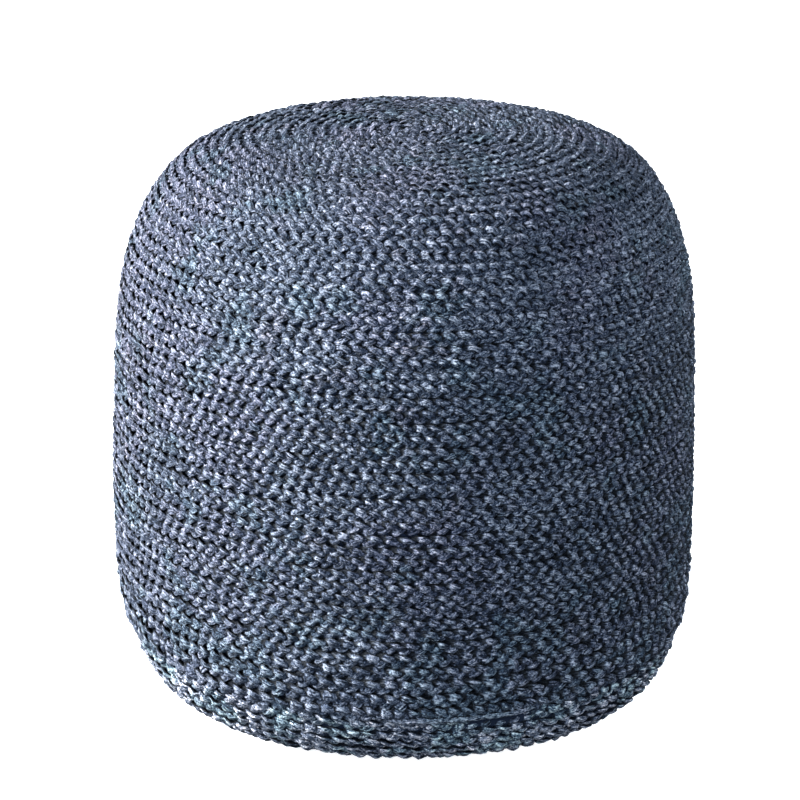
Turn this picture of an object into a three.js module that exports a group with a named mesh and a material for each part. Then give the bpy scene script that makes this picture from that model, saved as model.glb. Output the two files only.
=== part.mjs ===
// Jute pouf: a flat braid wound in a spiral and sewn edge to edge over a firm round filling.
// Millimetres, +Z up. The origin is the middle of the underside, where the pouf stands.
// Two sewn panels. The cover is the top and the side in one winding and is modelled filled.
// The base is a wound disc whose rim turns up round the lower corner to the seam.

import * as THREE from 'three';

// Overall form
const height = 435;            // floor to the middle of the top
const bellyRadius = 225;       // widest, at the upper end of the lower corner
const shoulderRadius = 221.5;  // straight side above the belly
const shoulderPower = 4.3;     // roundness of the shoulder: 2 is an ellipse, more is squarer
const bellyTop = 256;          // height from which the side swells out to the belly
const cornerHeight = 134;      // from the floor up to the upper end of the lower corner
const cornerPower = 3;         // roundness of the lower corner
const footRadius = 139;        // flat part that stands on the floor

// Braid and seam
const coverTurns = 57;         // whole turns of the cover's winding that keep their full width
const coilStart = 0.5;         // inner radius of the first turn, in rows
const tuckedEnd = 0.6;         // narrowest width of the last turn, in rows
const wideTurns = 6;           // turns above the seam that widen one after the other
const widening = 0.75;         // by this much each
const rowDepth = 2.2;          // from a row's ridge down to the sewn groove beside it
const seamHeight = 57;         // edge of the cover, above the floor
const seamStep = 2.2;          // the cover's edge stands this far proud of the base's rim
const baseRows = 10;           // rows of the base between the seam and the flat foot
const baseThickness = 7;       // the base's braid, at its rim
const sewnGap = 0.3;           // between the two panels
const hiddenRings = 6;         // rings of points along the face between the panels

// Hand filling: slight lean, uneven foot and uneven swell
const leanTop = 5.2;           // sideways shift of the top, towards +X
const leanFoot = 4.3;          // sideways shift of the foot, towards +X
const footCorners = 6.5;       // the foot is a little three-cornered, drawn in at the front
const swell = 0.9;             // uneven swell of the side

const stepsRound = 40;         // points in one turn
const fullTurn = 2 * Math.PI;

// Half outline of the pouf as (radius, height), from the middle of the top at stage 0 over the
// shoulder and down the side to the belly at stage 1, and round the lower corner to the edge of
// the foot at stage 2. Each stage is a quarter of a superellipse, and the side above the belly
// swells out to it in a soft S.
class HalfOutline extends THREE.Curve {
  constructor(from, to) {
    super();
    this.from = from;
    this.to = to;
    this.arcLengthDivisions = 1200;
  }

  getPoint(share, target = new THREE.Vector2()) {
    const stage = this.from + (this.to - this.from) * share;
    if (stage <= 1) {
      const upper = superellipse(stage, shoulderPower);
      const z = cornerHeight + (height - cornerHeight) * upper.x;
      const down = THREE.MathUtils.clamp((bellyTop - z) / (bellyTop - cornerHeight), 0, 1);
      const ease = (1 - Math.cos(down * Math.PI)) / 2;
      return target.set(shoulderRadius * upper.y + (bellyRadius - shoulderRadius) * ease, z);
    }
    const lower = superellipse(stage - 1, cornerPower);
    return target.set(
      footRadius + (bellyRadius - footRadius) * lower.x,
      cornerHeight * (1 - lower.y),
    );
  }

  // Point at a distance along the outline, pushed in square to it by depth
  inset(distance, depth) {
    const share = THREE.MathUtils.clamp(distance / this.getLength(), 0, 1);
    const point = this.getPointAt(share);
    const along = this.getTangentAt(share);
    return new THREE.Vector2(point.x + along.y * depth, point.y - along.x * depth);
  }
}

// Quarter of a superellipse with both half axes 1, from (1, 0) at share 0 to (0, 1) at share 1
function superellipse(share, power) {
  const turn = share * Math.PI / 2;
  const across = Math.max(Math.cos(turn), 0);
  const up = Math.sin(turn);
  const size = (across ** power + up ** power) ** (-1 / power);
  return new THREE.Vector2(across * size, up * size);
}

// Moves a point of the round form to where the hand-filled pouf has it
function placed(radius, z, angle) {
  const upper = THREE.MathUtils.clamp((z - cornerHeight) / (height - cornerHeight), 0, 1);
  const lower = THREE.MathUtils.clamp(1 - z / cornerHeight, 0, 1);
  const front = angle + Math.PI / 2;
  const foot = footCorners * Math.cos(3 * front) * lower * lower;
  const waves = Math.sin(3 * angle + 0.8 + z / 90) + Math.sin(5 * angle - z / 60);
  const lumps = swell * waves / 2 * Math.sin(Math.PI * THREE.MathUtils.clamp(z / height, 0, 1));
  const grown = radius + (lumps - foot) * Math.min(radius / shoulderRadius, 1);
  const shift = leanTop * upper * upper + leanFoot * lower * lower;
  return [grown * Math.cos(angle) + shift, grown * Math.sin(angle), z];
}

// A closed body while it is built: its points, and its faces by point number
class Body {
  constructor() {
    this.points = [];
    this.faces = [];
  }

  add(radius, z, angle) {
    this.points.push(placed(radius, z, angle));
    return this.points.length - 1;
  }

  // Level ring of points, closed by its own first point
  ring(radius, z) {
    const ring = [];
    for (let step = 0; step < stepsRound; step += 1) {
      ring.push(this.add(radius, z, fullTurn * step / stepsRound));
    }
    ring.push(ring[0]);
    return ring;
  }

  // Faces between two lines of points, seen from outside with the first line on top
  band(upper, lower, firstStep = 0) {
    for (let step = firstStep; step < stepsRound; step += 1) {
      this.faces.push([upper[step], lower[step], lower[step + 1]]);
      this.faces.push([upper[step], lower[step + 1], upper[step + 1]]);
    }
  }

  // Faces from one point to each stretch of a line
  fan(tip, line) {
    for (let step = 0; step + 1 < line.length; step += 1) {
      this.faces.push([tip, line[step], line[step + 1]]);
    }
  }

  geometry() {
    const geometry = new THREE.BufferGeometry();
    geometry.setAttribute('position', new THREE.Float32BufferAttribute(this.points.flat(), 3));
    geometry.setIndex(this.faces.flat());
    geometry.computeVertexNormals();
    return geometry;
  }
}

// The seam lies on the lower corner, where the outline has come down to seamHeight
const seamUp = 1 - seamHeight / cornerHeight;
const seamAcross = (1 - seamUp ** cornerPower) ** (1 / cornerPower);
const seamStage = 1 + Math.atan2(seamUp, seamAcross) / (Math.PI / 2);
const coverLine = new HalfOutline(0, seamStage);
const baseLine = new HalfOutline(seamStage, 2);

// Width of a plain row: all turns together, with the widening of the last ones, fill the cover
const turnsToSeam = coilStart + coverTurns + 1 + tuckedEnd;
const braidWidth = (coverLine.getLength() - widening * wideTurns ** 2 / 2) / turnsToSeam;

// Point of the cover that lies so many turns out from the middle of the top
function coverPoint(turns, depth) {
  const widened = Math.max(turns - (turnsToSeam - wideTurns), 0);
  return coverLine.inset(braidWidth * turns + widening * widened ** 2 / 2, depth);
}

// Point of the base's outline by its share of the way from the seam to the foot, pushed in by
// depth and by the step at the seam, which dies away towards the foot
function basePoint(share, depth, clearance) {
  const distance = clearance + share * (baseLine.getLength() - clearance);
  return baseLine.inset(distance, seamStep * (1 - share) + depth);
}

// The cover has two lines of points to a row, groove and ridge. Both wind outwards by one row a
// turn, so a line ends where the line two further on begins.
function coverGeometry() {
  const body = new Body();
  const last = 2 * coverTurns;
  const lines = [];
  for (let line = 0; line <= last + 2; line += 1) {
    const depth = line % 2 === 0 ? rowDepth : 0;
    const steps = line <= last ? stepsRound : 1;
    const points = [];
    for (let step = 0; step < steps; step += 1) {
      const share = step / stepsRound;
      const point = coverPoint(coilStart + line / 2 + share, depth);
      points.push(body.add(point.x, point.y, fullTurn * share));
    }
    lines.push(points);
  }
  for (let line = 0; line <= last; line += 1) {
    lines[line].push(lines[line + 2][0]);
  }
  for (let line = 0; line < last; line += 1) {
    body.band(lines[line], lines[line + 1]);
  }

  // Small coil in the middle of the top, closed a little off the axis
  const tip = body.add(0.2 * braidWidth, height - rowDepth / 2, -fullTurn / 6);
  body.fan(tip, lines[0]);
  body.fan(tip, [lines[2][0], lines[1][0], lines[0][0]]);

  // Last turn, down to the level edge at the seam, with the braid's end tucked in at the first step
  const seam = coverLine.getPointAt(1);
  const edge = body.ring(seam.x, seam.y);
  const tucked = [lines[last][1], lines[last][0], lines[last + 1][0], lines[last + 2][0], edge[0]];
  body.band(lines[last], edge, 1);
  body.fan(edge[1], tucked);

  // Hidden face: in under the edge, down inside the base's rim and across to the middle
  let above = edge;
  for (let ring = 0; ring <= hiddenRings; ring += 1) {
    const point = basePoint(ring / hiddenRings, baseThickness + sewnGap, 0);
    const below = body.ring(point.x, point.y);
    body.band(above, below);
    above = below;
  }
  const middle = body.add(0, baseThickness + sewnGap, 0);
  body.fan(middle, [...above].reverse());
  return body.geometry();
}

// The base: ridged rows from the seam down round the corner, a flat foot, and the inner face
function baseGeometry() {
  const body = new Body();
  const last = 2 * baseRows;
  const lines = [];
  for (let line = 0; line <= last; line += 1) {
    const groove = line % 2 === 0 && line > 0 && line < last;
    const point = basePoint(line / last, groove ? rowDepth : 0, sewnGap);
    lines.push(body.ring(point.x, point.y));
  }
  for (let line = 0; line < last; line += 1) {
    body.band(lines[line], lines[line + 1]);
  }
  const footMiddle = body.add(0, 0, 0);
  body.fan(footMiddle, [...lines[last]].reverse());

  let above = lines[0];
  for (let ring = 0; ring <= hiddenRings; ring += 1) {
    const point = basePoint(ring / hiddenRings, baseThickness, sewnGap);
    const below = body.ring(point.x, point.y);
    body.band(below, above);
    above = below;
  }
  const innerMiddle = body.add(0, baseThickness, 0);
  body.fan(innerMiddle, above);
  return body.geometry();
}

const coverBraid = new THREE.MeshStandardMaterial({ color: 0x566074, roughness: 0.75, metalness: 0 });
const baseBraid = new THREE.MeshStandardMaterial({ color: 0x4d5e6f, roughness: 0.8, metalness: 0 });

const cover = new THREE.Mesh(coverGeometry(), coverBraid);
cover.name = 'cover';

const base = new THREE.Mesh(baseGeometry(), baseBraid);
base.name = 'base';

const group = new THREE.Group();
group.add(cover, base);

export default group;
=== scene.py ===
# Jute pouf: a filled body with a flat three-strand braid wound over it and sewn edge to edge.
# Metres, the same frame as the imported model: foot at z = 0, the photograph's side towards -Y.
import math

import bpy
import numpy as np
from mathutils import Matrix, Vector


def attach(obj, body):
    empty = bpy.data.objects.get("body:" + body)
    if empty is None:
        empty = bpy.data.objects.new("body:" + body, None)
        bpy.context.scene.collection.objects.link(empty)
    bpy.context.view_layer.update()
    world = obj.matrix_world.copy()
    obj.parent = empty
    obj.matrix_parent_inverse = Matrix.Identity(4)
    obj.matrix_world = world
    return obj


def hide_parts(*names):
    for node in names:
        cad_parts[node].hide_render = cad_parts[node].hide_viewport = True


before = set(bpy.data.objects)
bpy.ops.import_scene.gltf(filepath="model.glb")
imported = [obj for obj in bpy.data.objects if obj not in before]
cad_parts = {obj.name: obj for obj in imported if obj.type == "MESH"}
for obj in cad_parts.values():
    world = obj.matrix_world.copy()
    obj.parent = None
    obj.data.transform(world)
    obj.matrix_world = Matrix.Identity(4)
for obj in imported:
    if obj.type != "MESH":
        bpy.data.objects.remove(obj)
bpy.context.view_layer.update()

scene = bpy.context.scene
fullTurn = 2 * math.pi
mm = 0.001

view = {
    "elevation": 20.5,     # degrees above the horizon
    "distance": 1.699,
    "aim": (-0.0025, 0.0, 0.2192),
    "lens": 99.0,          # millimetres, as the sensor's width
    "sensor": 36.0,
    "clip": (0.05, 30.0),
}
cameraData = bpy.data.cameras.new("camera")
cameraData.lens = view["lens"]
cameraData.sensor_width = view["sensor"]
cameraData.clip_start, cameraData.clip_end = view["clip"]
camera = bpy.data.objects.new("camera", cameraData)
tilt = math.radians(view["elevation"])
aimX, aimY, aimZ = view["aim"]
camera.location = (
    aimX,
    aimY - view["distance"] * math.cos(tilt),
    aimZ + view["distance"] * math.sin(tilt),
)
camera.rotation_euler = (math.pi / 2 - tilt, 0.0, 0.0)
scene.collection.objects.link(camera)
scene.camera = camera

form = {
    "height": 435 * mm,
    "belly": 225 * mm,           # widest radius, at the top of the lower corner
    "shoulder": 221.5 * mm,      # radius of the straight side
    "shoulderPower": 4.3,
    "bellyTop": 256 * mm,
    "corner": 134 * mm,
    "cornerPower": 3.0,
    "foot": 139 * mm,
    "leanTop": 5.2 * mm,         # shift of the top towards +X, and of the foot
    "leanFoot": 4.3 * mm,
    "footCorners": 6.5 * mm,
    "swell": 0.9 * mm,
    "swellTurned": 0.8,          # radians that the first of its two waves is turned by
    "firstWinds": 90 * mm,       # height over which each wave turns on by a radian
    "secondWinds": 60 * mm,
    "seam": 57 * mm,             # height of the cover's lower edge
    "coilStart": 0.5,            # inner radius of the first turn, in rows
    "coverTurns": 57,
    "tuckedEnd": 0.6,            # narrowest width of the last turn, in rows
    "wideTurns": 6,              # turns above the seam that widen one after the other
    "widening": 0.75 * mm,       # by this much each
    "baseRows": 10,              # between the seam and the foot's edge
}


# Quarter of a superellipse with both half axes 1: the direction at that angle, scaled until
# across^power + up^power = 1
def superellipse(share, power):
    turn = share * math.pi / 2
    across, up = np.maximum(np.cos(turn), 0.0), np.sin(turn)
    size = (across**power + up**power) ** (-1 / power)
    return across * size, up * size


# Half outline (radius, height) by stage: 0 the middle of the top, 1 the belly, 2 the foot's edge.
# Above the belly the side swells out to it by half a cosine wave.
def halfOutline(stage):
    rise, out = superellipse(np.clip(stage, 0, 1), form["shoulderPower"])
    upperZ = form["corner"] + (form["height"] - form["corner"]) * rise
    down = np.clip((form["bellyTop"] - upperZ) / (form["bellyTop"] - form["corner"]), 0, 1)
    swellOut = (1 - np.cos(down * math.pi)) / 2
    upperR = form["shoulder"] * out + (form["belly"] - form["shoulder"]) * swellOut
    across, drop = superellipse(np.clip(stage - 1, 0, 1), form["cornerPower"])
    lowerR = form["foot"] + (form["belly"] - form["foot"]) * across
    lowerZ = form["corner"] * (1 - drop)
    upper = stage <= 1
    return np.where(upper, upperR, lowerR), np.where(upper, upperZ, lowerZ)


upperSteps, lowerSteps = 6000, 4000     # of the outline, above and below the belly
stages = np.concatenate(
    [np.linspace(0, 1, upperSteps + 1), np.linspace(1, 2, lowerSteps + 1)[1:]]
)
outlineR, outlineZ = halfOutline(stages)
# The flat foot goes on to the axis
outlineR = np.append(outlineR, 0.0)
outlineZ = np.append(outlineZ, 0.0)
outlineAt = np.concatenate(
    [[0.0], np.cumsum(np.hypot(np.diff(outlineR), np.diff(outlineZ)))]
)
footEdgeAt = outlineAt[-2]
middleAt = outlineAt[-1]
seamUp = 1 - form["seam"] / form["corner"]
seamAcross = (1 - seamUp ** form["cornerPower"]) ** (1 / form["cornerPower"])
seamStage = 1 + math.atan2(seamUp, seamAcross) / (math.pi / 2)
seamAt = float(np.interp(seamStage, stages, outlineAt[:-1]))

turnsToSeam = form["coilStart"] + form["coverTurns"] + 1 + form["tuckedEnd"]
rowWidth = (seamAt - form["widening"] * form["wideTurns"] ** 2 / 2) / turnsToSeam
baseRowWidth = (footEdgeAt - seamAt) / form["baseRows"]
tangentReach = 1.5 * mm     # to either side of the place where a tangent is taken
print("outline", round(middleAt / mm), "mm long, rows", round(rowWidth / mm, 2), "mm wide")


# Distance down the outline of a winding position in turns: even rows, and in the last turns
# before the seam each row a little wider than the one above
def rowDistance(turns):
    late = np.maximum(turns - (turnsToSeam - form["wideTurns"]), 0)
    return rowWidth * turns + form["widening"] * late**2 / 2


# Tangent of the outline (radius, height) at a distance, from a point to either side of it
def outlineTangent(distance):
    low = np.maximum(distance - tangentReach, 0)
    high = np.minimum(distance + tangentReach, middleAt)
    tangentR = np.interp(high, outlineAt, outlineR) - np.interp(low, outlineAt, outlineR)
    tangentZ = np.interp(high, outlineAt, outlineZ) - np.interp(low, outlineAt, outlineZ)
    size = np.hypot(tangentR, tangentZ)
    return tangentR / size, tangentZ / size


# Where the hand-filled pouf has a point of the round form: the sum of two waves round the side
# swells it, three corners draw in the foot, and the top and the foot shift towards +X
def placed(radius, z, angle):
    upper = np.clip((z - form["corner"]) / (form["height"] - form["corner"]), 0, 1)
    lower = np.clip(1 - z / form["corner"], 0, 1)
    foot = form["footCorners"] * np.cos(3 * (angle + math.pi / 2)) * lower**2
    waves = np.sin(3 * angle + form["swellTurned"] + z / form["firstWinds"])
    waves = waves + np.sin(5 * angle - z / form["secondWinds"])
    lumps = form["swell"] * waves / 2 * np.sin(math.pi * np.clip(z / form["height"], 0, 1))
    grown = radius + (lumps - foot) * np.minimum(radius / form["shoulder"], 1)
    shift = form["leanTop"] * upper**2 + form["leanFoot"] * lower**2
    return np.stack([grown * np.cos(angle) + shift, grown * np.sin(angle), z], -1)


# Outward direction of the round form at an angle and a distance down the outline
def outward(angle, distance):
    angle, distance = np.broadcast_arrays(angle, distance)
    tangentR, tangentZ = outlineTangent(distance)
    return np.stack([-tangentZ * np.cos(angle), -tangentZ * np.sin(angle), tangentR], -1)


# Point of the form at an angle and a distance, raised along the outline's own normal
def onForm(angle, distance, raised):
    angle, distance, raised = np.broadcast_arrays(angle, distance, raised)
    tangentR, tangentZ = outlineTangent(distance)
    radius = np.interp(distance, outlineAt, outlineR) - tangentZ * raised
    z = np.interp(distance, outlineAt, outlineZ) + tangentR * raised
    return placed(radius, z, angle)


# Smooth chance in -1..1 along a line: seeded values at whole numbers, joined by a soft S
def chance(along, seed, count=4096):
    values = np.random.default_rng(seed).uniform(-1, 1, count)
    cell = np.floor(along).astype(int)
    part = along - cell
    soft = part * part * (3 - 2 * part)
    return values[cell % count] * (1 - soft) + values[(cell + 1) % count] * soft


# One mesh from whole arrays: points, quads and triangles, and what the points carry
def meshFrom(name, points, quads, triangles, pointValues=None, cornerMaps=None):
    mesh = bpy.data.meshes.new(name)
    corners = np.concatenate([quads.reshape(-1), triangles.reshape(-1)]).astype(np.int32)
    totals = np.concatenate([np.full(len(quads), 4), np.full(len(triangles), 3)]).astype(np.int32)
    starts = np.concatenate([[0], np.cumsum(totals)[:-1]]).astype(np.int32)
    mesh.vertices.add(len(points))
    mesh.vertices.foreach_set("co", points.astype(np.float32).reshape(-1))
    mesh.loops.add(len(corners))
    mesh.loops.foreach_set("vertex_index", corners)
    mesh.polygons.add(len(totals))
    mesh.polygons.foreach_set("loop_start", starts)
    mesh.polygons.foreach_set("use_smooth", np.ones(len(totals), bool))
    mesh.update(calc_edges=True)
    for mapName, pair in (cornerMaps or {}).items():
        layer = mesh.uv_layers.new(name=mapName)
        layer.uv.foreach_set("vector", pair.astype(np.float32).reshape(-1))
    for valueName, values in (pointValues or {}).items():
        attribute = mesh.attributes.new(valueName, "FLOAT", "POINT")
        attribute.data.foreach_set("value", values.astype(np.float32).reshape(-1))
    piece = bpy.data.objects.new(name, mesh)
    scene.collection.objects.link(piece)
    return piece


# Filled body under the braid
filling = {
    "under": 4.6 * mm,      # the body's skin lies this far inside the braid's ridges
    "aroundSteps": 96,
    "downSteps": 64,
    "pressure": 4.0,
    "frames": 20,
    "quality": 6,
    "mass": 0.4,
    "stiffness": 30,
    "bending": 4,
    "most": 3.5 * mm,       # no point moves further than this
    "seamHeld": 9 * mm,     # reach of the bell curve that holds the skin at the seam
    "footHeld": 20 * mm,    # from this far outside the foot's edge the skin is held more and more
    "leastHeld": 0.02,      # a point that is held less than this is free
}


# Closed skin over two parameters, angle and distance, with a pole at either end
def skinPoints(aroundSteps, fromAt, toAt, downSteps, raised):
    angles = np.arange(aroundSteps) * fullTurn / aroundSteps
    downs = np.linspace(fromAt, toAt, downSteps + 2)[1:-1]
    return angles, downs, onForm(angles[None, :], downs[:, None], raised)


# Faces of that skin: quads between its rings, and a fan of triangles round each pole
def skinFaces(aroundSteps, rings, topPole, footPole):
    here = np.arange(rings * aroundSteps).reshape(rings, aroundSteps)
    right = np.roll(here, -1, axis=1)
    quads = np.stack([here[:-1], here[1:], right[1:], right[:-1]], -1).reshape(-1, 4)
    top = np.stack([np.full(aroundSteps, topPole), here[0], right[0]], -1)
    foot = np.stack([np.full(aroundSteps, footPole), right[-1], here[-1]], -1)
    return quads, np.concatenate([top, foot])


angles, downs, skin = skinPoints(
    filling["aroundSteps"], 0.0, middleAt, filling["downSteps"], -filling["under"]
)
topPole = onForm(0.0, 0.0, -filling["under"])[None, :]
footPole = onForm(0.0, middleAt, -filling["under"])[None, :]
topPole[0, :2] = (form["leanTop"], 0.0)
footPole[0, :2] = (form["leanFoot"], 0.0)
skinAll = np.concatenate([skin.reshape(-1, 3), topPole, footPole])
quads, fans = skinFaces(
    filling["aroundSteps"], filling["downSteps"], len(skinAll) - 2, len(skinAll) - 1
)
body = meshFrom("filledBody", skinAll, quads, fans)

settled = skinAll.copy()
# The seam's ring and the foot keep their place, as sewn and as standing on the floor
held = np.zeros(len(skinAll))
ringHeld = np.exp(-(((downs - seamAt) / filling["seamHeld"]) ** 2))
footHeld = np.clip((downs - footEdgeAt) / filling["footHeld"] + 1, 0, 1)
held[: skin.shape[0] * skin.shape[1]] = np.repeat(
    np.maximum(ringHeld, footHeld), filling["aroundSteps"]
)
held[-1] = 1.0
group = body.vertex_groups.new(name="held")
for index in np.nonzero(held > filling["leastHeld"])[0]:
    group.add([int(index)], float(held[index]), "REPLACE")
cloth = body.modifiers.new("fill", "CLOTH")
cloth.settings.quality = filling["quality"]
cloth.settings.mass = filling["mass"]
cloth.settings.tension_stiffness = filling["stiffness"]
cloth.settings.compression_stiffness = filling["stiffness"]
cloth.settings.bending_stiffness = filling["bending"]
cloth.settings.use_pressure = True
cloth.settings.uniform_pressure_force = filling["pressure"]
cloth.settings.vertex_group_mass = "held"
cloth.settings.effector_weights.gravity = 0
cloth.point_cache.frame_start = 1
cloth.point_cache.frame_end = filling["frames"]
for step in range(1, filling["frames"] + 1):
    scene.frame_set(step)
evaluated = body.evaluated_get(bpy.context.evaluated_depsgraph_get())
moved = np.zeros(len(skinAll) * 3, np.float32)
evaluated.data.vertices.foreach_get("co", moved)
moved = moved.reshape(-1, 3) - skinAll
length = np.linalg.norm(moved, axis=1, keepdims=True)
moved *= np.minimum(1, filling["most"] / np.maximum(length, 1e-9))
body.modifiers.remove(cloth)
scene.frame_set(1)
settled = skinAll + moved
body.data.vertices.foreach_set("co", settled.astype(np.float32).reshape(-1))
body.data.update()
furthest = float(np.linalg.norm(settled - skinAll, axis=1).max()) / mm
print("filledBody", len(skinAll), "points, moved by up to", round(furthest, 2), "mm")

# How far the settled skin stands out from where it began, by distance and angle
skinOut = np.einsum(
    "dak,dak->da",
    (settled - skinAll)[:-2].reshape(skin.shape),
    outward(angles[None, :], downs[:, None]),
)


# The same at any angle and distance, in straight lines between the skin's points
def filledOut(angle, distance):
    across = np.mod(angle, fullTurn) / fullTurn * filling["aroundSteps"]
    down = np.clip(np.interp(distance, downs, np.arange(len(downs))), 0, len(downs) - 1.001)
    cellA, cellD = np.floor(across).astype(int), np.floor(down).astype(int)
    partA, partD = across - cellA, down - cellD
    low, high = cellA % filling["aroundSteps"], (cellA + 1) % filling["aroundSteps"]
    above = skinOut[cellD, low] * (1 - partA) + skinOut[cellD, high] * partA
    below = skinOut[cellD + 1, low] * (1 - partA) + skinOut[cellD + 1, high] * partA
    return above * (1 - partD) + below * partD


# The braid that both panels are wound from
plait = {
    "sway": 0.37,            # how far a strand swings to either side, in row widths
    "rise": 1.6 * mm,        # how far it passes over and under
    "edge": 0.6 * mm,        # how much higher it lies where it turns at the row's edges
    "tip": 1.1 * mm,         # a row's upper edge stands out by this, over the row above it
    "halfWide": 0.312,       # of a strand, in row widths
    "halfThick": 1.35 * mm,
    "bed": 3.6 * mm,         # the braid's middle lies this far inside the ridges
    "wander": 0.45 * mm,     # the whole row strays to the side by this within a few lobes
    "wanderOver": 37 * mm,
    "drift": 0.75 * mm,      # and by this over a hand's breadth, so grooves open and close
    "driftOver": 110 * mm,
    "crumple": 0.26 * mm,    # unevenness of each strand's skin
    "twist": 0.45,           # turn of a lobe about its own strand, in radians
    "swayUneven": 0.14,      # shares by which the lobes differ
    "riseUneven": 0.35,
    "wideUneven": 0.20,
    "thickUneven": 0.20,
    "lobeAt": (0, 100, 160, 230, 260, 450, 480, 560, 640, 900),     # mm down the outline
    "lobeLong": (9.2, 9.3, 9.6, 9.7, 10.1, 10.3, 11.0, 11.4, 11.4, 11.4),    # mm, there
    "longUneven": ((0.13, 60 * mm), (0.07, 21 * mm)),      # share, and over what length
    "turnSteps": 1440,       # close steps of a winding in one turn
    "crowding": 0.2,         # how much closer a strand's rings lie where it is on top
}
# Corners of a strand's section, from one end of its flat back over its top to the other
sectionTurns = np.radians([-24.0, 33.0, 90.0, 147.0, 204.0])
lobeLook = {
    "ownTone": 0.7,          # tone of a lobe by itself, and of a stretch of its strand
    "slowTone": 0.3,
    "slowOver": 160 * mm,
    "crownAt": 2.05,         # where in its lobe the crown of painted highlight lies, and its reach, in radians
    "crownReach": 0.45,
    "crownUpper": 0.26,      # more of it at the row's upper edge, and less at the lower
    "crownMean": 0.75,
    "crownUneven": 0.85,
    "crownLeast": 0.1,
    "crownMost": 1.5,
    "shadeFrom": -0.22,      # sin(2p) where the painted shade of a strand that goes under begins
    "shadeOver": 0.50,
}


# Length of one lobe along the row at a distance from the middle of the top
def lobeLength(distance):
    return np.interp(distance / mm, plait["lobeAt"], plait["lobeLong"]) * mm


# A winding by close even steps of angle: angle, distance down the outline, row width, length
# wound so far, and phase of the plait, which gains a whole wave in three lobes
def winding(fromTurn, toTurn, distanceAt, seed):
    turn = np.linspace(fromTurn, toTurn, int((toTurn - fromTurn) * plait["turnSteps"]) + 1)
    angle, distance = turn * fullTurn, distanceAt(turn)
    width = distanceAt(turn + 0.5) - distanceAt(turn - 0.5)
    steps = np.linalg.norm(np.diff(onForm(angle, distance, 0.0), axis=0), axis=1)
    length = np.concatenate([[0.0], np.cumsum(steps)])
    uneven = 1
    for number, (share, over) in enumerate(plait["longUneven"]):
        uneven = uneven + share * chance(length / over, seed + number)
    lobe = lobeLength(distance) * uneven
    waves = np.concatenate([[0.0], np.cumsum(steps / (3 * lobe[1:]))])
    return np.stack([angle, distance, width, length, waves * fullTurn])


# One strand's middle line, outward direction, half sizes, turn, length so far and looks. At phase
# p it lies sway * sin(p) to the side and -rise * sin(2p) + edge * sin(p)^2 + tip * sin(p) above
# the braid's middle, so it is on top twice in a wave, once slanting each way. Each of these lobes
# has its own size, height and turn.
def strandLine(wound, strand, ringsInWave, placeAt, shadeAt, seed):
    third = strand * fullTurn / 3
    first, last = wound[4, 0], wound[4, -1]
    even = np.linspace(first, last, int(round((last - first) / fullTurn * ringsInWave)) + 1)
    own = even + third
    own = own - plait["crowding"] * np.sin(2 * (own - math.radians(135)))
    at = np.clip(own - third, first, last)
    at[0], at[-1] = first, last
    own = at + third
    angle, distance, width, metre = (np.interp(at, wound[4], wound[row]) for row in range(4))
    lobe = own / math.pi - 0.75     # whole numbers at the lobes' tops

    # About 1, and smooth from lobe to lobe, by its own chance for each number and strand
    def uneven(amount, number):
        return 1 + plait[amount] * chance(lobe, seed + 10 * number + strand)

    side = plait["sway"] * width * np.sin(own) * uneven("swayUneven", 1)
    thicker = np.sqrt(width / rowWidth)
    over = thicker * (
        -plait["rise"] * np.sin(2 * own) * uneven("riseUneven", 2)
        + plait["edge"] * np.sin(own) ** 2
        + plait["tip"] * np.sin(own)
    )
    wander = plait["wander"] * chance(metre / plait["wanderOver"], seed + 5)
    wander = wander + plait["drift"] * chance(metre / plait["driftOver"], seed + 6)
    centre, normal = placeAt(angle, distance - side + wander, over)
    wide = plait["halfWide"] * width * uneven("wideUneven", 3)
    thick = plait["halfThick"] * thicker * uneven("thickUneven", 4)
    turned = plait["twist"] * chance(lobe, seed + 50 + strand)
    tone = lobeLook["ownTone"] * chance(lobe, seed + 60 + strand)
    tone = tone + lobeLook["slowTone"] * chance(metre / lobeLook["slowOver"], seed + 70 + strand)
    # Painted highlight: a pale crown near the head of each lobe, a bell curve, of another strength
    # in each lobe
    fromCrown = (np.mod(own, math.pi) - lobeLook["crownAt"]) / lobeLook["crownReach"]
    upper = lobeLook["crownUpper"] * np.sin(own)
    crown = np.exp(-(fromCrown**2)) * (1 - lobeLook["crownUpper"] + upper)
    strength = lobeLook["crownMean"] + lobeLook["crownUneven"] * chance(lobe, seed + 90 + strand)
    crown = crown * np.clip(strength, lobeLook["crownLeast"], lobeLook["crownMost"])
    # Painted shade where the strand goes down under the next, and in the groove at the seam
    under = np.clip((np.sin(2 * own) - lobeLook["shadeFrom"]) / lobeLook["shadeOver"], 0, 1)
    shade = np.maximum(under, shadeAt(angle, distance))
    return centre, normal, wide, thick, turned, metre, (tone, crown, shade)


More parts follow.
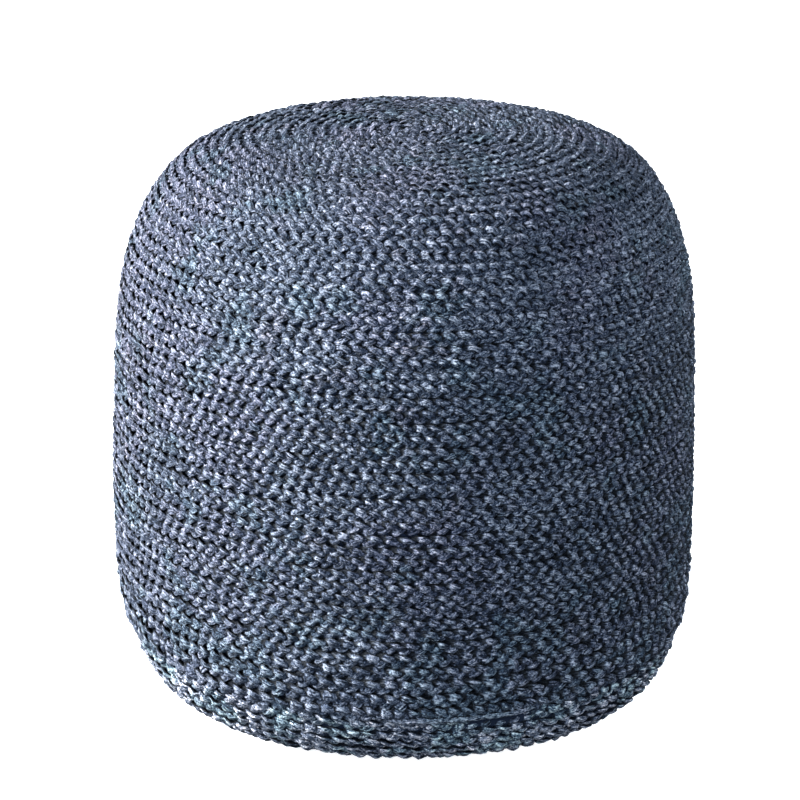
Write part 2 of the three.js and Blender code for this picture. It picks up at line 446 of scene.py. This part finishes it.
# A closed tube: a five-sided section, half an oval with a flat back, carried along a line on its
# tangent, its outward normal and their cross, and turned about the line. Gives points, faces,
# end faces, and a map in millimetres along the line and in turns round it, with a whole number
# added so that each strand has its own streaks.
def tube(centre, normal, wide, thick, turned, metre, seed):
    rings, sides = len(centre), len(sectionTurns)
    tangent = np.gradient(centre, axis=0)
    tangent /= np.linalg.norm(tangent, axis=1, keepdims=True)
    normal = normal - tangent * np.sum(normal * tangent, axis=1, keepdims=True)
    normal /= np.linalg.norm(normal, axis=1, keepdims=True)
    across = np.cross(tangent, normal)
    cosine, sine = np.cos(turned)[:, None], np.sin(turned)[:, None]
    across, normal = across * cosine + normal * sine, normal * cosine - across * sine
    rough = np.random.default_rng(seed).normal(0, plait["crumple"], (rings, sides))
    points = (
        centre[:, None, :]
        + across[:, None, :] * ((wide[:, None] + rough) * np.cos(sectionTurns))[:, :, None]
        + normal[:, None, :] * ((thick[:, None] + rough) * np.sin(sectionTurns))[:, :, None]
    )
    points[:, :, 2] = np.maximum(points[:, :, 2], 0.0)   # pressed flat where it stands
    here = np.arange(rings * sides).reshape(rings, sides)
    after = np.roll(here, -1, axis=1)
    quads = np.stack([here[:-1], here[1:], after[1:], after[:-1]], -1).reshape(-1, 4)
    ends = [
        np.stack([np.full(sides - 2, fan[0]), fan[1:-1], fan[2:]], -1)
        for fan in (here[0], here[-1][::-1])
    ]
    along = np.broadcast_to((metre / mm)[:, None], (rings, sides))
    around = np.broadcast_to(np.arange(sides + 1) / sides + seed % 7, (rings, sides + 1))
    corners = [
        (along[:-1], around[:-1, :-1]), (along[1:], around[1:, :-1]),
        (along[1:], around[1:, 1:]), (along[:-1], around[:-1, 1:]),
    ]
    strandMap = np.stack([np.stack(pair, -1) for pair in corners], 2).reshape(-1, 2)
    return points.reshape(-1, 3), quads, np.concatenate(ends), strandMap


stepShape = 0.233      # length of a step from ring to ring over the way round its section
cellMargin = 0.04      # of a cell of the second map, along either side


# A second map, without overlaps, of so many steps from ring to ring: the steps are laid side by
# side in rows, about as wide as they are high on the whole, and the end faces go in the last cell
def stepsInRows(steps, ends):
    rows = max(1, int(math.sqrt(steps * stepShape)))
    inRow = -(-(steps + 1) // rows)
    sides = len(sectionTurns)
    step, side = np.divmod(np.arange(steps * sides), sides)
    row, column = np.divmod(step, inRow)
    left, right = column / inRow, (column + 1) / inRow
    filled = 1 - 2 * cellMargin
    lower, upper = ((row + cellMargin + filled * (side + edge) / sides) / rows for edge in (0, 1))
    quadCorners = np.stack([left, lower, right, lower, right, upper, left, upper], -1)
    inCell = np.array([[0.1, 0.1], [0.9, 0.1], [0.1, 0.9]])
    endCorners = 1 - inCell / np.array([inRow, rows])
    return np.concatenate([quadCorners.reshape(-1, 2), np.tile(endCorners, (ends, 1))])


# One piece from several tubes, each with its looks: a tone, a crown of painted highlight and a
# painted shade for every ring. The painted highlight fades towards the sides of the section, and
# the sides have the full painted shade.
def tubePiece(name, tubes, looks):
    starts = np.cumsum([0] + [len(made[0]) for made in tubes])
    quads = np.concatenate([made[1] + start for made, start in zip(tubes, starts)])
    ends = np.concatenate([made[2] + start for made, start in zip(tubes, starts)])
    maps = [made[3] for made in tubes] + [np.zeros((len(ends) * 3, 2))]
    tone, crown, shade = (np.concatenate(values) for values in zip(*looks))
    piece = meshFrom(
        name,
        np.concatenate([made[0] for made in tubes]),
        quads,
        ends,
        {
            "tone": np.repeat(tone, len(sectionTurns)),
            "crown": np.outer(crown, np.maximum(np.sin(sectionTurns), 0.1)),
            "creaseShade": np.maximum(shade[:, None], np.sin(sectionTurns) < 0),
        },
        {
            "strand": np.concatenate(maps),
            "OFBake": stepsInRows(len(quads) // len(sectionTurns), len(ends)),
        },
    )
    print(name, 2 * len(quads) + len(ends), "triangles")
    return piece


# The braid along a winding: its three strands
def braidStrands(name, wound, placeAt, shadeAt, ringsInWave, seed):
    tubes, looks = [], []
    for strand in range(3):
        *line, look = strandLine(wound, strand, ringsInWave, placeAt, shadeAt, seed)
        tubes.append(tube(*line, seed + 80 + strand))
        looks.append(look)
    return tubePiece(name, tubes, looks)


# The seam, where the cover's edge is folded in over the base's rim. At the front the last strand
# of the cover is drawn out straight along it for a hand's breadth.
seamLook = {
    "from": math.radians(-97),      # the front is at -90
    "to": math.radians(-62),
    "softEnd": 0.12,        # radians in which the strand comes out at either end
    "gap": 4.6 * mm,        # the base's rim lies up to this much further in under the drawn strand
    "deepFrom": math.radians(-80),
    "deepTo": math.radians(-75),
    "shallow": 0.2,         # depth of the groove's shallow part, as a share
    "grooveTop": 6 * mm,    # it begins this far above the seam
    "grooveEnd": 13 * mm,   # and ends this far below it, after getting shallower for a while
    "grooveFades": 9 * mm,
}


# An angle as one between -180 and 180 degrees, with the front at -90
def signed(angle):
    return np.mod(angle + math.pi, fullTurn) - math.pi


# How fully the strand is drawn out at an angle: a soft step at either end
def drawnOut(angle):
    into = (signed(angle) - seamLook["from"]) / seamLook["softEnd"]
    outOf = (seamLook["to"] - signed(angle)) / seamLook["softEnd"]
    drawn = np.clip(np.minimum(into, outOf), 0, 1)
    return drawn**2 * (3 - 2 * drawn)


# The groove just under the drawn strand, from 0 to 1: shallow at first and deep towards its
# right-hand end, and full at the seam and a little below it. It sets how far in the base's rim lies
# there, and the base braid's painted shade in it.
def groove(angle, distance):
    deep = (signed(angle) - seamLook["deepFrom"]) / (seamLook["deepTo"] - seamLook["deepFrom"])
    depth = seamLook["shallow"] + (1 - seamLook["shallow"]) * np.clip(deep, 0, 1)
    down = distance - seamAt
    below = np.clip((seamLook["grooveEnd"] - down) / seamLook["grooveFades"], 0, 1)
    return drawnOut(angle) * depth * below * (down > -seamLook["grooveTop"])


# Cover: on the form, with the rim of the top pushed out by the filling and the middle of the
# winding a little nearer the front, and past the seam folded in under the edge
coverLook = {
    "rimFullness": 2.2 * mm,
    "rimAt": 168 * mm,          # distance down the outline, and how far to either side
    "rimReach": 32 * mm,
    "middleShift": 13 * mm,     # towards -Y, fading out with the square of a parabola
    "shiftReach": 190 * mm,
    "foldAbove": 1.5 * mm,      # the fold begins this far above the seam
    "foldSlope": 0.9,           # and goes in by this share of its width
}


# Where the cover's braid has a point of its winding, and its outward direction: moved in plan by
# the shift of the middle, then raised by the filling and by the rim's bell curve
def coverPlace(angle, distance, over):
    fade = np.clip(1 - (distance / coverLook["shiftReach"]) ** 2, 0, 1) ** 2
    x, y = distance * np.cos(angle), distance * np.sin(angle) - coverLook["middleShift"] * fade
    angle, distance = np.arctan2(y, x), np.hypot(x, y)
    past = np.maximum(distance - (seamAt - coverLook["foldAbove"]), 0)
    kept = distance - past
    fromRim = (distance - coverLook["rimAt"]) / coverLook["rimReach"]
    fullness = coverLook["rimFullness"] * np.exp(-(fromRim**2))
    folded = past * coverLook["foldSlope"]
    raised = over - plait["bed"] + filledOut(angle, distance) + fullness - folded
    return onForm(angle, kept, raised), outward(angle, kept)


# Base: on the form inside the cover's edge, and on the floor
baseLook = {
    "rimInside": 2.2 * mm,      # the rim is this far inside the cover's edge, the foot isn't
    "tuckedWide": 2 * mm,       # from here up the first row goes in behind the cover's edge
    "tuckedSlope": 1.2,
    "footInside": 2.0 * mm,     # clear of the floor, from a little outside the foot's edge
    "footReach": 20 * mm,
    "hole": 1 * mm,             # no point of the winding comes nearer to the axis
}


# Where the base's braid has a point of its winding, and its outward direction: the form, less the
# sum of the four ways in which the base lies further in
def basePlace(angle, distance, over):
    down = distance - seamAt
    inside = baseLook["rimInside"] * np.clip(1 - down / (footEdgeAt - seamAt), 0, 1)
    inside = inside + baseLook["tuckedSlope"] * np.maximum(baseLook["tuckedWide"] - down, 0)
    inside = inside + seamLook["gap"] * groove(angle, distance)
    onFoot = np.clip((distance - footEdgeAt) / baseLook["footReach"] + 1, 0, 1)
    inside = inside + baseLook["footInside"] * onFoot
    kept = np.minimum(distance, middleAt - baseLook["hole"])
    return onForm(angle, kept, over - plait["bed"] - inside), outward(angle, kept)


# The part of a winding between two turns
def stretch(wound, fromTurn, toTurn):
    first, last = np.searchsorted(wound[0], np.array([fromTurn, toTurn]) * fullTurn - 1e-6)
    return wound[:, first:last + 1]


# The stretches that become pieces: name, first and last turn, rings in one wave of the plait.
# Both begin a little before turn 0: the cover's coil further in towards the middle of the top, and
# the base's rim further up behind the cover's edge.
coverBands = [
    ("coverTopBraid", -0.35, 21.5, 12),
    ("coverShoulderBraid", 21.5, 32.0, 12),
    ("coverSideUpperBraid", 32.0, 41.0, 12),
    ("coverSideLowerBraid", 41.0, 50.0, 12),
    ("coverHemBraid", 50.0, 58.6, 12),
]
baseBands = [
    ("baseRimBraid", -0.7, 10.0, 12),
    ("baseFootBraid", 10.0, 22.6, 8),
]
seeds = {"coverWinding": 3, "baseWinding": 4, "cover": 100, "base": 300, "edge": 990, "loose": 51}


# Middle of the cover's row at a turn, half a row out from its inner groove
def coverRow(turn):
    return rowDistance(turn + form["coilStart"] + 0.5)


# Middle of the base's row at a turn: even rows from the seam
def baseRow(turn):
    return seamAt + baseRowWidth * turn


# The cover's braid has no painted shade of its own from the seam
def noShade(angle, distance):
    return 0.0


coverWound = winding(coverBands[0][1], coverBands[-1][2], coverRow, seeds["coverWinding"])
baseWound = winding(baseBands[0][1], baseBands[-1][2], baseRow, seeds["baseWinding"])
coverPieces = [
    braidStrands(name, stretch(coverWound, start, end), coverPlace, noShade, rings, seeds["cover"])
    for name, start, end, rings in coverBands
]

# The strand that is drawn out along the seam
edgeStrand = {
    "steps": 80,
    "halfWide": 2.3 * mm,
    "halfThick": 2.0 * mm,
    "thinner": 0.4,         # share by which both are less at its ends
    "runsOn": 0.02,         # radians that it goes on past where it is drawn out
    "above": 0.8 * mm,      # it lies this far above the seam
    "inside": 0.6 * mm,     # and this far in, and more at its ends
    "endsInside": 4 * mm,
    "radius": 200 * mm,     # about that of the seam, for the length along it
    "tone": 0.9,
    # Its crown is painted highlight, as on the braid's lobes
    "crown": 0.9,
}


# One tube along the seam, thinner and further in where it isn't drawn out
def drawnStrand(name):
    runsOn, steps = edgeStrand["runsOn"], edgeStrand["steps"]
    angle = np.linspace(seamLook["from"] - runsOn, seamLook["to"] + runsOn, steps)
    distance = seamAt - edgeStrand["above"]
    hidden = 1 - drawnOut(angle)
    size = 1 - edgeStrand["thinner"] * hidden
    line = tube(
        onForm(angle, distance, -edgeStrand["inside"] - edgeStrand["endsInside"] * hidden),
        outward(angle, distance),
        edgeStrand["halfWide"] * size,
        edgeStrand["halfThick"] * size,
        np.zeros(steps),
        edgeStrand["radius"] * angle,
        seeds["edge"],
    )
    look = (edgeStrand["tone"], edgeStrand["crown"], 0.0)
    return tubePiece(name, [line], [[np.full(steps, value) for value in look]])


coverPieces.append(drawnStrand("coverEdgeStrand"))
# The base's braid takes painted shade from the groove at the seam
basePieces = [
    braidStrands(name, stretch(baseWound, start, end), basePlace, groove, rings, seeds["base"])
    for name, start, end, rings in baseBands
]

# Short fibres that have worked loose from the braid: thin three-sided tubes
loose = {
    "count": 1300,
    "steps": 3,
    "shortest": 5 * mm,
    "longest": 13 * mm,
    "halfThick": 0.16 * mm,
    "start": -1.6 * mm,     # both ends, or the held one, lie this far inside the ridges
    "lift": 3.2 * mm,       # most that a fibre comes up from there
    "leastLift": 0.5,       # as a share of that
    "fromMiddle": 20 * mm,  # none is nearer to the middle of the top, or to the seam
    "fromSeam": 8 * mm,
    "slanting": 0.8,        # spread of their headings about the row's, in radians
    "bending": 0.25,        # spread of their sideways bends, as shares of their lengths
    "standing": 0.4,        # share of them with a free end that stands up
    "standPower": 1.5,
    "tones": (-0.4, 1.0),
    # Their crown is painted highlight, as on the braid's lobes
    "crown": 0.45,
    "mapCells": 100,        # cells in a row of the second map
    "streakScale": 900,     # of the first map to the second
}


# Fibres spread evenly over the cover. Each runs roughly along its row, bent sideways by a parabola,
# and either arches by half a sine wave or stands up towards its free end by a power of the share.
def looseFibres(name, seed):
    rng = np.random.default_rng(seed)
    count, steps = loose["count"], loose["steps"]
    shown = outlineAt[:-1] > loose["fromMiddle"]
    shown = shown & (outlineAt[:-1] < seamAt - loose["fromSeam"])
    area = np.cumsum(np.where(shown, outlineR[:-1] * np.gradient(outlineAt[:-1]), 0))
    distance = np.interp(rng.uniform(0, area[-1], count), area, outlineAt[:-1])
    angle = rng.uniform(0, fullTurn, count)
    heading = rng.normal(0, loose["slanting"], count)
    length = rng.uniform(loose["shortest"], loose["longest"], count)
    lift = loose["lift"] * rng.uniform(loose["leastLift"], 1, count)
    free = rng.uniform(0, 1, count) < loose["standing"]
    bend = rng.normal(0, loose["bending"], count) * length
    share = np.linspace(0, 1, steps + 1)[:, None]
    along, aside = (share - 0.5) * length, 4 * share * (1 - share) * bend
    radius = np.interp(distance, outlineAt, outlineR)
    angles = angle + (along * np.cos(heading) - aside * np.sin(heading)) / radius
    distances = distance + along * np.sin(heading) + aside * np.cos(heading)
    stands, arches = share ** loose["standPower"], np.sin(math.pi * share)
    raised = loose["start"] + lift * np.where(free, stands, arches)
    centre, normal = coverPlace(angles, distances, raised + plait["bed"])
    tangent = np.gradient(centre, axis=0)
    across = np.cross(tangent, normal)
    across /= np.linalg.norm(across, axis=-1, keepdims=True)
    up = np.cross(across, tangent)
    up /= np.linalg.norm(up, axis=-1, keepdims=True)
    turns = np.radians([90.0, 210.0, 330.0])[:, None]
    section = across[:, :, None] * np.cos(turns) + up[:, :, None] * np.sin(turns)
    points = centre[:, :, None] + section * loose["halfThick"]
    here = np.arange(points[..., 0].size).reshape(points.shape[:3])
    after = np.roll(here, -1, axis=2)
    quads = np.stack([here[:-1], here[1:], after[1:], after[:-1]], -1).reshape(-1, 4)
    ends = np.concatenate([here[0], here[-1][:, ::-1]])
    cells, cell = loose["mapCells"], np.arange(len(quads))
    column, row = cell % cells / cells, cell // cells / (len(quads) // cells + 2)
    inCell = np.array([(0.001, 0.001), (0.009, 0.001), (0.009, 0.004), (0.001, 0.004)])
    inLast = np.array([(0.99, 0.995), (0.995, 0.995), (0.995, 0.999)])
    quadCorners = (np.stack([column, row], -1)[:, None, :] + inCell).reshape(-1, 2)
    endCorners = np.tile(inLast, (len(ends), 1))
    tone = np.broadcast_to(rng.uniform(*loose["tones"], count)[None, :, None], here.shape)
    crown = np.full(here.shape, loose["crown"])
    piece = meshFrom(
        name,
        points.reshape(-1, 3),
        quads,
        ends,
        {"tone": tone, "crown": crown, "creaseShade": np.zeros(here.shape)},
        {
            "strand": np.concatenate([quadCorners * loose["streakScale"], 0 * endCorners]),
            "OFBake": np.concatenate([quadCorners, endCorners]),
        },
    )
    print(name, 2 * len(quads) + len(ends), "triangles")
    return piece


coverPieces.append(looseFibres("coverLooseFibres", seeds["loose"]))


# A socket that Python arithmetic can be done with
class Wire:
    def __init__(self, graph, socket):
        self.graph, self.socket = graph, socket

    def __add__(self, other):
        return self.graph.maths("ADD", self, other)

    def __radd__(self, other):
        return self.graph.maths("ADD", other, self)

    def __sub__(self, other):
        return self.graph.maths("SUBTRACT", self, other)

    def __rsub__(self, other):
        return self.graph.maths("SUBTRACT", other, self)

    def __mul__(self, other):
        return self.graph.maths("MULTIPLY", self, other)

    def __rmul__(self, other):
        return self.graph.maths("MULTIPLY", other, self)

    def __truediv__(self, other):
        return self.graph.maths("DIVIDE", self, other)

    def __pow__(self, other):
        return self.graph.maths("POWER", self, other)


# The nodes of one material
class Graph:
    def __init__(self, name):
        self.material = bpy.data.materials.new(name)
        self.material.use_nodes = True
        self.tree = self.material.node_tree
        self.tree.nodes.clear()

    # One node: its type, its settings, then what goes into its sockets, by name or number
    def node(self, kind, settings=None, sockets=None):
        made = self.tree.nodes.new("ShaderNode" + kind)
        for key, value in (settings or {}).items():
            setattr(made, key, value)
        for key, value in (sockets or {}).items():
            if isinstance(value, Wire):
                self.tree.links.new(value.socket, made.inputs[key])
            else:
                made.inputs[key].default_value = value
        return made

    # One output of a new node, by its number
    def out(self, kind, settings=None, sockets=None, output=0):
        return Wire(self, self.node(kind, settings, sockets).outputs[output])

    # One Math node on values and wires
    def maths(self, operation, *values):
        return self.out("Math", {"operation": operation}, dict(enumerate(values)))

    # From 0 at the low limit to 1 at the high one, as a soft S
    def smooth(self, value, low, high):
        return self.out(
            "MapRange",
            {"interpolation_type": "SMOOTHSTEP"},
            {"Value": value, "From Min": low, "From Max": high},
        )

    # Two colours by a factor: sockets 6 and 7 of the node are its colours, and output 2 their mix
    def mix(self, factor, first, second, blend="MIX"):
        return self.out(
            "Mix",
            {"data_type": "RGBA", "blend_type": blend, "clamp_factor": True},
            {0: factor, 6: first, 7: second},
            output=2,
        )

    # Smooth noise, about 0.5 on average
    def noise(self, vector, scale, detail, roughness):
        return self.out(
            "TexNoise",
            None,
            {"Vector": vector, "Scale": scale, "Detail": detail, "Roughness": roughness},
        )

    # The shader is what the material shows
    def finish(self, shader):
        self.tree.links.new(shader.outputs[0], self.node("OutputMaterial").inputs[0])


# Dyed jute: bundles of fibres drawn out along the strand, finer fibres between them, small
# crumples, and dye that changes slowly over the pouf and a little from lobe to lobe, with painted
# highlight on the lobes' crowns and painted shade down their sides and ends
jute = {
    "slate": (0.068, 0.083, 0.117, 1.0),
    "violet": (0.073, 0.081, 0.119, 1.0),
    "teal": (0.046, 0.081, 0.106, 1.0),
    "plum": (0.077, 0.078, 0.108, 1.0),
    # Pale grey of the painted highlight on the lobes' crowns
    "paintedHighlight": (0.28, 0.315, 0.37, 1.0),
    # Noises along a strand: scale to a millimetre, scale to a turn round it, detail, roughness
    "bundle": (0.13, 4.2, 2.0, 0.6),
    "fibre": (0.30, 7.5, 2.0, 0.6),
    "parted": (0.12, 5.0, 1.0, 0.5),
    # Noises in space: scale to a metre, detail, roughness
    "crumple": (620.0, 2.0, 0.65),
    "cracked": (330.0, 1.0, 0.5),
    "violetPatch": (9.0, 1.0, 0.5),
    "tealPatch": (26.0, 2.0, 0.55),
    "plumPatch": (40.0, 1.0, 0.5),
    # Values of each noise, about 0.5 on average, from which and to which it comes in
    "bundleStep": (0.40, 0.60),
    "fibreStep": (0.42, 0.58),
    "crumpleStep": (0.44, 0.56),
    "violetStep": (0.42, 0.60),
    "tealStep": (0.54, 0.66),
    "plumStep": (0.60, 0.72),
    "partedWide": 0.05,     # half width of the dark lines, as a value of their noise
    "crackedWide": 0.055,
    "lowStep": (0.26, 0.06),        # heights over which the lower side's dye comes in
    "topStep": (0.36, 0.43),        # and over which the top's lesser painted highlight on the crowns does
    "lowTealer": 0.08,      # how much more teal there is low down
    "plumMost": 0.6,
    # most of the painted highlight's pale grey that is mixed in
    "paintedHighlightMost": 0.55,
    # How light the fibres are: shares of the three noises, then least, and times their square
    "bundleLight": 0.34,
    "fibreLight": 0.28,
    "crumpleLight": 0.38,
    "leastLight": 0.12,
    "moreLight": 3.5,
    "lobeToLobe": 0.40,
    "hollow": 0.92,         # dye's strength between the lobes' crowns
    "crown": 0.75,          # how much painted highlight is added on them
    "topHighlightLess": 0.80,        # this share less painted highlight on the crowns on the top
    "level": 0.22,          # how soon the palest fibres level off
    "partedDark": 0.9,      # how much the dark lines and the cracks take off
    "crackedDark": 0.7,
    "creaseShade": 0.97,         # and how much painted shade takes off down the lobes' sides and ends
    "creaseShadeStep": (0.24, 0.66),
    "redPower": 1.34,
    "greenPower": 1.19,
    "roughness": 0.55,
    "fibreRoughness": 0.3,  # how far it differs from fibre to fibre
    "gloss": 0.15,
    "glossTint": (0.80, 0.90, 1.0, 1.0),
    "relief": 1.0 * mm,     # of the bundles, and the others' as shares of it
    "fibreRelief": 0.5,
    "crumpleRelief": 0.35,
    "partedRelief": 0.5,
    "crackedRelief": 0.4,
}


# Colour: the dye times how light the fibres are, with painted highlight on the lobes' crowns. The
# tealShare is how full the teal patches are, lowTeal is how much of the violet and the plum is left
# out low down, and strength scales the whole colour; the base's higher strength is painted light.
def juteMaterial(name, tealShare, lowTeal, strength):
    g = Graph(name)
    place = g.out("TexCoord", output=3)
    strand = g.out("UVMap", {"uv_map": "strand"})
    tone, crown, creaseShade = (
        g.out("Attribute", {"attribute_name": value}, output=2)
        for value in ("tone", "crown", "creaseShade")
    )

    # A noise along the strand
    def drawn(along, around, detail, roughness):
        scaled = g.out("Mapping", None, {"Vector": strand, "Scale": (along, around, 1.0)})
        return g.noise(scaled, 1.0, detail, roughness)

    # Thin lines where a noise is close to its middle value: 0 on the line, 1 away from it
    def partings(noise, width):
        return g.smooth(g.maths("ABSOLUTE", noise - 0.5), 0.0, width)

    bundle = g.smooth(drawn(*jute["bundle"]), *jute["bundleStep"])
    fibre = g.smooth(drawn(*jute["fibre"]), *jute["fibreStep"])
    crumple = g.smooth(g.noise(place, *jute["crumple"]), *jute["crumpleStep"])
    parted = partings(drawn(*jute["parted"]), jute["partedWide"])
    cracked = partings(g.noise(place, *jute["cracked"]), jute["crackedWide"])
    height = g.out("SeparateXYZ", None, {0: place}, 2)
    low = g.smooth(height, *jute["lowStep"])
    # Less painted highlight on the crowns of the top
    crown = crown * (1.0 - g.smooth(height, *jute["topStep"]) * jute["topHighlightLess"])

    # Dye: slate, with slow changes to violet and patches of teal and plum
    warm = 1.0 - low * lowTeal
    violet = g.smooth(g.noise(place, *jute["violetPatch"]), *jute["violetStep"])
    dye = g.mix(violet * warm, jute["slate"], jute["violet"])
    teal = g.noise(place, *jute["tealPatch"]) + low * jute["lowTealer"]
    dye = g.mix(g.smooth(teal, *jute["tealStep"]) * tealShare, dye, jute["teal"])
    plum = g.smooth(g.noise(place, *jute["plumPatch"]), *jute["plumStep"])
    dye = g.mix(plum * warm * jute["plumMost"], dye, jute["plum"])

    light = bundle * jute["bundleLight"] + fibre * jute["fibreLight"]
    light = light + crumple * jute["crumpleLight"]
    light = jute["leastLight"] + light * light * jute["moreLight"]
    light = light * (1.0 + tone * jute["lobeToLobe"])
    # Painted highlight: more light on the lobes' crowns
    light = light * (jute["hollow"] + crown * jute["crown"])
    # Pale fibres level off, as v (1 + k) / (1 + k v) does
    light = light * (1.0 + jute["level"]) / (1.0 + light * jute["level"]) * strength
    light = light * ((1.0 - jute["partedDark"]) + parted * jute["partedDark"])
    light = light * ((1.0 - jute["crackedDark"]) + cracked * jute["crackedDark"])
    # Painted shade down the lobes' sides and ends, and in the groove at the seam
    light = light * (1.0 - g.smooth(creaseShade, *jute["creaseShadeStep"]) * jute["creaseShade"])
    # The lighter a fibre, the greyer: red and green grow by a power a little above 1
    red, green = light ** jute["redPower"], light ** jute["greenPower"]
    dye = g.mix(1.0, dye, g.out("CombineColor", None, {0: red, 1: green, 2: light}), "MULTIPLY")
    # Painted highlight: pale grey mixed in on the lobes' crowns
    dye = g.mix(crown * fibre * parted * jute["paintedHighlightMost"], dye, jute["paintedHighlight"])

    relief = bundle + fibre * jute["fibreRelief"] + crumple * jute["crumpleRelief"]
    relief = relief + parted * jute["partedRelief"] + cracked * jute["crackedRelief"]
    bump = {"Strength": 1.0, "Distance": jute["relief"], "Height": relief}
    g.finish(g.node("BsdfPrincipled", None, {
        "Base Color": dye,
        "Roughness": jute["roughness"] + (fibre - 0.5) * jute["fibreRoughness"],
        "Specular IOR Level": jute["gloss"],
        "Specular Tint": jute["glossTint"],
        "Normal": g.out("Bump", None, bump),
    }))
    return g.material


coverJute = juteMaterial("coverJute", tealShare=0.52, lowTeal=0.6, strength=1.06)
# The base's higher strength is painted light on its downward-facing rim and foot
baseJuteWithPaintedLight = juteMaterial("baseJuteWithPaintedLight", tealShare=0.7, lowTeal=0.85, strength=2.2)

# The body, which shows only as the dark between the strands: its near-black colour is painted shade
# for the deep gaps
inner = {
    "dark": (0.003, 0.006, 0.013, 1.0),
    "pale": (0.009, 0.014, 0.028, 1.0),
    "weave": (900.0, 2.0, 0.5),     # scale to a metre, detail, roughness
    "roughness": 0.95,
    "gloss": 0.1,
}


# Two dark colours mixed by a fine noise
def innerMaterial(name):
    g = Graph(name)
    weave = g.noise(g.out("TexCoord", output=3), *inner["weave"])
    g.finish(g.node("BsdfPrincipled", None, {
        "Base Color": g.mix(weave, inner["dark"], inner["pale"]),
        "Roughness": inner["roughness"],
        "Specular IOR Level": inner["gloss"],
    }))
    return g.material


body.data.materials.append(innerMaterial("innerJutePaintedShade"))
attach(body, "root")
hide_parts("cover", "base")
for piece in coverPieces:
    piece.data.materials.append(coverJute)
    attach(piece, "root")
    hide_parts("cover")
for piece in basePieces:
    piece.data.materials.append(baseJuteWithPaintedLight)
    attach(piece, "root")
    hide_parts("base")
print("looks on", 1 + len(coverPieces) + len(basePieces), "pieces")

# Floor and light
white, cool = (1.0, 1.0, 1.0), (0.84, 0.97, 1.12)
stageLook = {
    "floorHalf": 20.0,
    "floorUnder": 0.5 * mm,
    "floor": (0.94, 0.94, 0.94, 1.0),
    "floorRoughness": 0.9,
    "glowTint": (1.0, 1.0, 1.0, 1.0),
    "floorGlow": 0.85,
    "sky": (0.90, 0.97, 1.10, 1.0),
    "skyStrength": 0.15,
    "facing": (0, 0, 0.2),      # point of the pouf that the lights face
}
# Watts, side in metres, place and tint of each light
lights = {
    "key": (690.0, 0.8, (-2.7, -0.45, 1.5), white),
    "top": (60.0, 0.7, (1.2, -1.75, 1.6), cool),
    "bounce": (21.0, 0.9, (-0.3, -1.1, 0.03), cool),
    "back": (60.0, 1.2, (2.2, 1.2, 1.7), cool),
}
half = stageLook["floorHalf"]
floorMesh = bpy.data.meshes.new("floor")
floorMesh.from_pydata(
    [(-half, -half, 0), (half, -half, 0), (half, half, 0), (-half, half, 0)], [], [(0, 1, 2, 3)]
)
floor = bpy.data.objects.new("floor", floorMesh)
floor.location.z = -stageLook["floorUnder"]
scene.collection.objects.link(floor)
floorLook = Graph("floorLook")
floorLook.finish(floorLook.node("BsdfPrincipled", None, {
    "Base Color": stageLook["floor"],
    "Roughness": stageLook["floorRoughness"],
    "Specular IOR Level": 0.0,
    "Emission Color": stageLook["glowTint"],
    "Emission Strength": stageLook["floorGlow"],
}))
floorMesh.materials.append(floorLook.material)
floor.visible_diffuse = floor.visible_glossy = False   # its glow doesn't light the pouf

world = bpy.data.worlds.new("sky")
world.use_nodes = True
world.node_tree.nodes["Background"].inputs[0].default_value = stageLook["sky"]
world.node_tree.nodes["Background"].inputs[1].default_value = stageLook["skyStrength"]
scene.world = world
scene.view_settings.view_transform = "Standard"


# Square soft light that faces the pouf
def softLight(name, strength, size, place, tint):
    data = bpy.data.lights.new(name, "AREA")
    data.energy, data.size, data.color = strength, size, tint
    light = bpy.data.objects.new(name, data)
    light.location = place
    light.rotation_mode = "QUATERNION"
    towards = Vector(stageLook["facing"]) - Vector(place)
    light.rotation_quaternion = towards.to_track_quat("-Z", "Y")
    scene.collection.objects.link(light)


for name, settings in lights.items():
    softLight(name, *settings)
print("stage: floor, sky and", len(lights), "lights")
